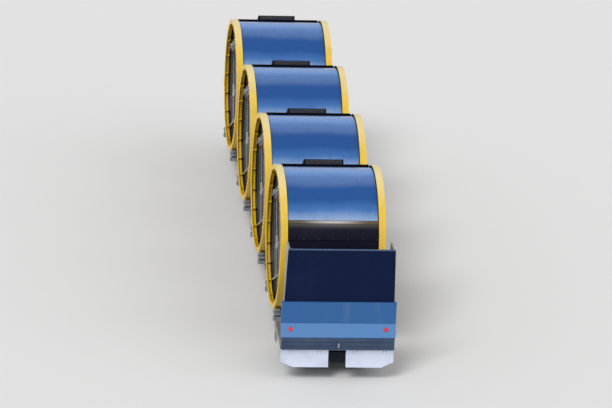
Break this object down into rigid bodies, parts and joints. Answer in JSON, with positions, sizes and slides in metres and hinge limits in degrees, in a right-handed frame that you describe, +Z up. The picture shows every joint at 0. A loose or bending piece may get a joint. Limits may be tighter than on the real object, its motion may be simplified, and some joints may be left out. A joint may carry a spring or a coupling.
{
  "type": "funicular car",
  "caption": "Funicular rail car with round drum cabins that turn to stay level, sliding side doors, a goods platform with a tall front wall, and wheeled bogies.",
  "frame": {"origin": "centre of the car's footprint, at the height of the wheel flanges' lowest points", "axes": "+Y uphill along the track, +X to the right when looking uphill, +Z up from the rails; the underframe is stored level and the cabins lean as on a 25 degree slope"},
  "size_m": [2.82, 18.18, 4.1999],
  "materials": {
    "drum_black": "satin",
    "roof_blue": "gloss",
    "blue_glass": "gloss",
    "rim_yellow": "gloss",
    "door_black": "satin",
    "cabin_grey": "matte",
    "frame_grey": "satin",
    "machined_steel": "satin",
    "wheel_steel": "satin",
    "drive_grey": "satin",
    "deck_plate": "satin",
    "navy_paint": "gloss",
    "band_blue": "gloss",
    "lamp_red": "gloss",
    "bumper_black": "satin",
    "plough_silver": "satin"
  },
  "bodies": {
    "cabin_1": {"cabin_1_belly": "drum_black", "cabin_1_roof": "roof_blue", "cabin_1_end_walls": "drum_black", "cabin_1_glazing": "blue_glass", "cabin_1_rims": "rim_yellow", "cabin_1_interior": "cabin_grey"},
    "cabin_1_door_left_downhill": {"cabin_1_door_left_downhill": "door_black"},
    "cabin_1_door_left_uphill": {"cabin_1_door_left_uphill": "door_black"},
    "cabin_1_door_right_downhill": {"cabin_1_door_right_downhill": "door_black"},
    "cabin_1_door_right_uphill": {"cabin_1_door_right_uphill": "door_black"},
    "cabin_2": {"cabin_2_belly": "drum_black", "cabin_2_roof": "roof_blue", "cabin_2_end_walls": "drum_black", "cabin_2_glazing": "blue_glass", "cabin_2_rims": "rim_yellow", "cabin_2_interior": "cabin_grey"},
    "cabin_2_door_left_downhill": {"cabin_2_door_left_downhill": "door_black"},
    "cabin_2_door_left_uphill": {"cabin_2_door_left_uphill": "door_black"},
    "cabin_2_door_right_downhill": {"cabin_2_door_right_downhill": "door_black"},
    "cabin_2_door_right_uphill": {"cabin_2_door_right_uphill": "door_black"},
    "cabin_3": {"cabin_3_belly": "drum_black", "cabin_3_roof": "roof_blue", "cabin_3_end_walls": "drum_black", "cabin_3_glazing": "blue_glass", "cabin_3_rims": "rim_yellow", "cabin_3_interior": "cabin_grey"},
    "cabin_3_door_left_downhill": {"cabin_3_door_left_downhill": "door_black"},
    "cabin_3_door_left_uphill": {"cabin_3_door_left_uphill": "door_black"},
    "cabin_3_door_right_downhill": {"cabin_3_door_right_downhill": "door_black"},
    "cabin_3_door_right_uphill": {"cabin_3_door_right_uphill": "door_black"},
    "cabin_4": {"cabin_4_belly": "drum_black", "cabin_4_roof": "roof_blue", "cabin_4_end_walls": "drum_black", "cabin_4_glazing": "blue_glass", "cabin_4_rims": "rim_yellow", "cabin_4_interior": "cabin_grey"},
    "cabin_4_door_left_downhill": {"cabin_4_door_left_downhill": "door_black"},
    "cabin_4_door_left_uphill": {"cabin_4_door_left_uphill": "door_black"},
    "cabin_4_door_right_downhill": {"cabin_4_door_right_downhill": "door_black"},
    "cabin_4_door_right_uphill": {"cabin_4_door_right_uphill": "door_black"},
    "chassis": {"side_beams": "frame_grey", "cross_members": "frame_grey", "roller_transoms": "frame_grey", "cradle_rollers": "machined_steel", "level_drives": "drive_grey", "platform": "deck_plate", "front_wall": "navy_paint", "front_skirt": "band_blue", "tail_lamps": "lamp_red", "bumper_beam": "bumper_black", "ploughs": "plough_silver", "tow_eye": "machined_steel", "rope_drawbar": "frame_grey", "rail_brakes": "drive_grey"},
    "bogie_rear": {"bogie_rear": "frame_grey"},
    "wheelset_rear_1": {"wheelset_rear_1": "wheel_steel"},
    "wheelset_rear_2": {"wheelset_rear_2": "wheel_steel"},
    "bogie_front": {"bogie_front": "frame_grey"},
    "wheelset_front_1": {"wheelset_front_1": "wheel_steel"},
    "wheelset_front_2": {"wheelset_front_2": "wheel_steel"}
  },
  "joints": [
    {"name": "cabin_1_level", "type": "hinge", "parent": "chassis", "child": "cabin_1", "pos_m": [0, 6.69, 2.40003], "axis": [1, 0, 0], "range_deg": [-22.7, 25]},
    {"name": "cabin_1_door_left_downhill_slide", "type": "slide", "parent": "cabin_1", "child": "cabin_1_door_left_downhill", "axis": [0, -0.9063, 0.4226], "range_m": [0, 0.6]},
    {"name": "cabin_1_door_left_uphill_slide", "type": "slide", "parent": "cabin_1", "child": "cabin_1_door_left_uphill", "axis": [0, 0.9063, -0.4226], "range_m": [0, 0.6]},
    {"name": "cabin_1_door_right_downhill_slide", "type": "slide", "parent": "cabin_1", "child": "cabin_1_door_right_downhill", "axis": [0, -0.9063, 0.4226], "range_m": [0, 0.6]},
    {"name": "cabin_1_door_right_uphill_slide", "type": "slide", "parent": "cabin_1", "child": "cabin_1_door_right_uphill", "axis": [0, 0.9063, -0.4226], "range_m": [0, 0.6]},
    {"name": "cabin_2_level", "type": "hinge", "parent": "chassis", "child": "cabin_2", "pos_m": [0, 2.69, 2.40003], "axis": [1, 0, 0], "range_deg": [-22.7, 25]},
    {"name": "cabin_2_door_left_downhill_slide", "type": "slide", "parent": "cabin_2", "child": "cabin_2_door_left_downhill", "axis": [0, -0.9063, 0.4226], "range_m": [0, 0.6]},
    {"name": "cabin_2_door_left_uphill_slide", "type": "slide", "parent": "cabin_2", "child": "cabin_2_door_left_uphill", "axis": [0, 0.9063, -0.4226], "range_m": [0, 0.6]},
    {"name": "cabin_2_door_right_downhill_slide", "type": "slide", "parent": "cabin_2", "child": "cabin_2_door_right_downhill", "axis": [0, -0.9063, 0.4226], "range_m": [0, 0.6]},
    {"name": "cabin_2_door_right_uphill_slide", "type": "slide", "parent": "cabin_2", "child": "cabin_2_door_right_uphill", "axis": [0, 0.9063, -0.4226], "range_m": [0, 0.6]},
    {"name": "cabin_3_level", "type": "hinge", "parent": "chassis", "child": "cabin_3", "pos_m": [0, -1.31, 2.40003], "axis": [1, 0, 0], "range_deg": [-22.7, 25]},
    {"name": "cabin_3_door_left_downhill_slide", "type": "slide", "parent": "cabin_3", "child": "cabin_3_door_left_downhill", "axis": [0, -0.9063, 0.4226], "range_m": [0, 0.6]},
    {"name": "cabin_3_door_left_uphill_slide", "type": "slide", "parent": "cabin_3", "child": "cabin_3_door_left_uphill", "axis": [0, 0.9063, -0.4226], "range_m": [0, 0.6]},
    {"name": "cabin_3_door_right_downhill_slide", "type": "slide", "parent": "cabin_3", "child": "cabin_3_door_right_downhill", "axis": [0, -0.9063, 0.4226], "range_m": [0, 0.6]},
    {"name": "cabin_3_door_right_uphill_slide", "type": "slide", "parent": "cabin_3", "child": "cabin_3_door_right_uphill", "axis": [0, 0.9063, -0.4226], "range_m": [0, 0.6]},
    {"name": "cabin_4_level", "type": "hinge", "parent": "chassis", "child": "cabin_4", "pos_m": [0, -5.31, 2.40003], "axis": [1, 0, 0], "range_deg": [-22.7, 25]},
    {"name": "cabin_4_door_left_downhill_slide", "type": "slide", "parent": "cabin_4", "child": "cabin_4_door_left_downhill", "axis": [0, -0.9063, 0.4226], "range_m": [0, 0.6]},
    {"name": "cabin_4_door_left_uphill_slide", "type": "slide", "parent": "cabin_4", "child": "cabin_4_door_left_uphill", "axis": [0, 0.9063, -0.4226], "range_m": [0, 0.6]},
    {"name": "cabin_4_door_right_downhill_slide", "type": "slide", "parent": "cabin_4", "child": "cabin_4_door_right_downhill", "axis": [0, -0.9063, 0.4226], "range_m": [0, 0.6]},
    {"name": "cabin_4_door_right_uphill_slide", "type": "slide", "parent": "cabin_4", "child": "cabin_4_door_right_uphill", "axis": [0, 0.9063, -0.4226], "range_m": [0, 0.6]},
    {"name": "bogie_rear_yaw", "type": "hinge", "parent": "chassis", "child": "bogie_rear", "pos_m": [0, 4.69, 0.44], "axis": [0, 0, 1], "range_deg": [-3, 3]},
    {"name": "wheelset_rear_1_roll", "type": "hinge", "parent": "bogie_rear", "child": "wheelset_rear_1", "pos_m": [0, 4.09, 0.308], "axis": [1, 0, 0], "continuous": true},
    {"name": "wheelset_rear_2_roll", "type": "hinge", "parent": "bogie_rear", "child": "wheelset_rear_2", "pos_m": [0, 5.29, 0.308], "axis": [1, 0, 0], "continuous": true},
    {"name": "bogie_front_yaw", "type": "hinge", "parent": "chassis", "child": "bogie_front", "pos_m": [0, -7.4, 0.44], "axis": [0, 0, 1], "range_deg": [-3, 3]},
    {"name": "wheelset_front_1_roll", "type": "hinge", "parent": "bogie_front", "child": "wheelset_front_1", "pos_m": [0, -8, 0.308], "axis": [1, 0, 0], "continuous": true},
    {"name": "wheelset_front_2_roll", "type": "hinge", "parent": "bogie_front", "child": "wheelset_front_2", "pos_m": [0, -6.8, 0.308], "axis": [1, 0, 0], "continuous": true}
  ],
  "couplings": [
    {"joint": "cabin_1_door_left_uphill_slide", "follows": "cabin_1_door_left_downhill_slide", "ratio": 1},
    {"joint": "cabin_1_door_right_uphill_slide", "follows": "cabin_1_door_right_downhill_slide", "ratio": 1},
    {"joint": "cabin_2_door_left_uphill_slide", "follows": "cabin_2_door_left_downhill_slide", "ratio": 1},
    {"joint": "cabin_2_door_right_uphill_slide", "follows": "cabin_2_door_right_downhill_slide", "ratio": 1},
    {"joint": "cabin_3_door_left_uphill_slide", "follows": "cabin_3_door_left_downhill_slide", "ratio": 1},
    {"joint": "cabin_3_door_right_uphill_slide", "follows": "cabin_3_door_right_downhill_slide", "ratio": 1},
    {"joint": "cabin_4_door_left_uphill_slide", "follows": "cabin_4_door_left_downhill_slide", "ratio": 1},
    {"joint": "cabin_4_door_right_uphill_slide", "follows": "cabin_4_door_right_downhill_slide", "ratio": 1}
  ]
}
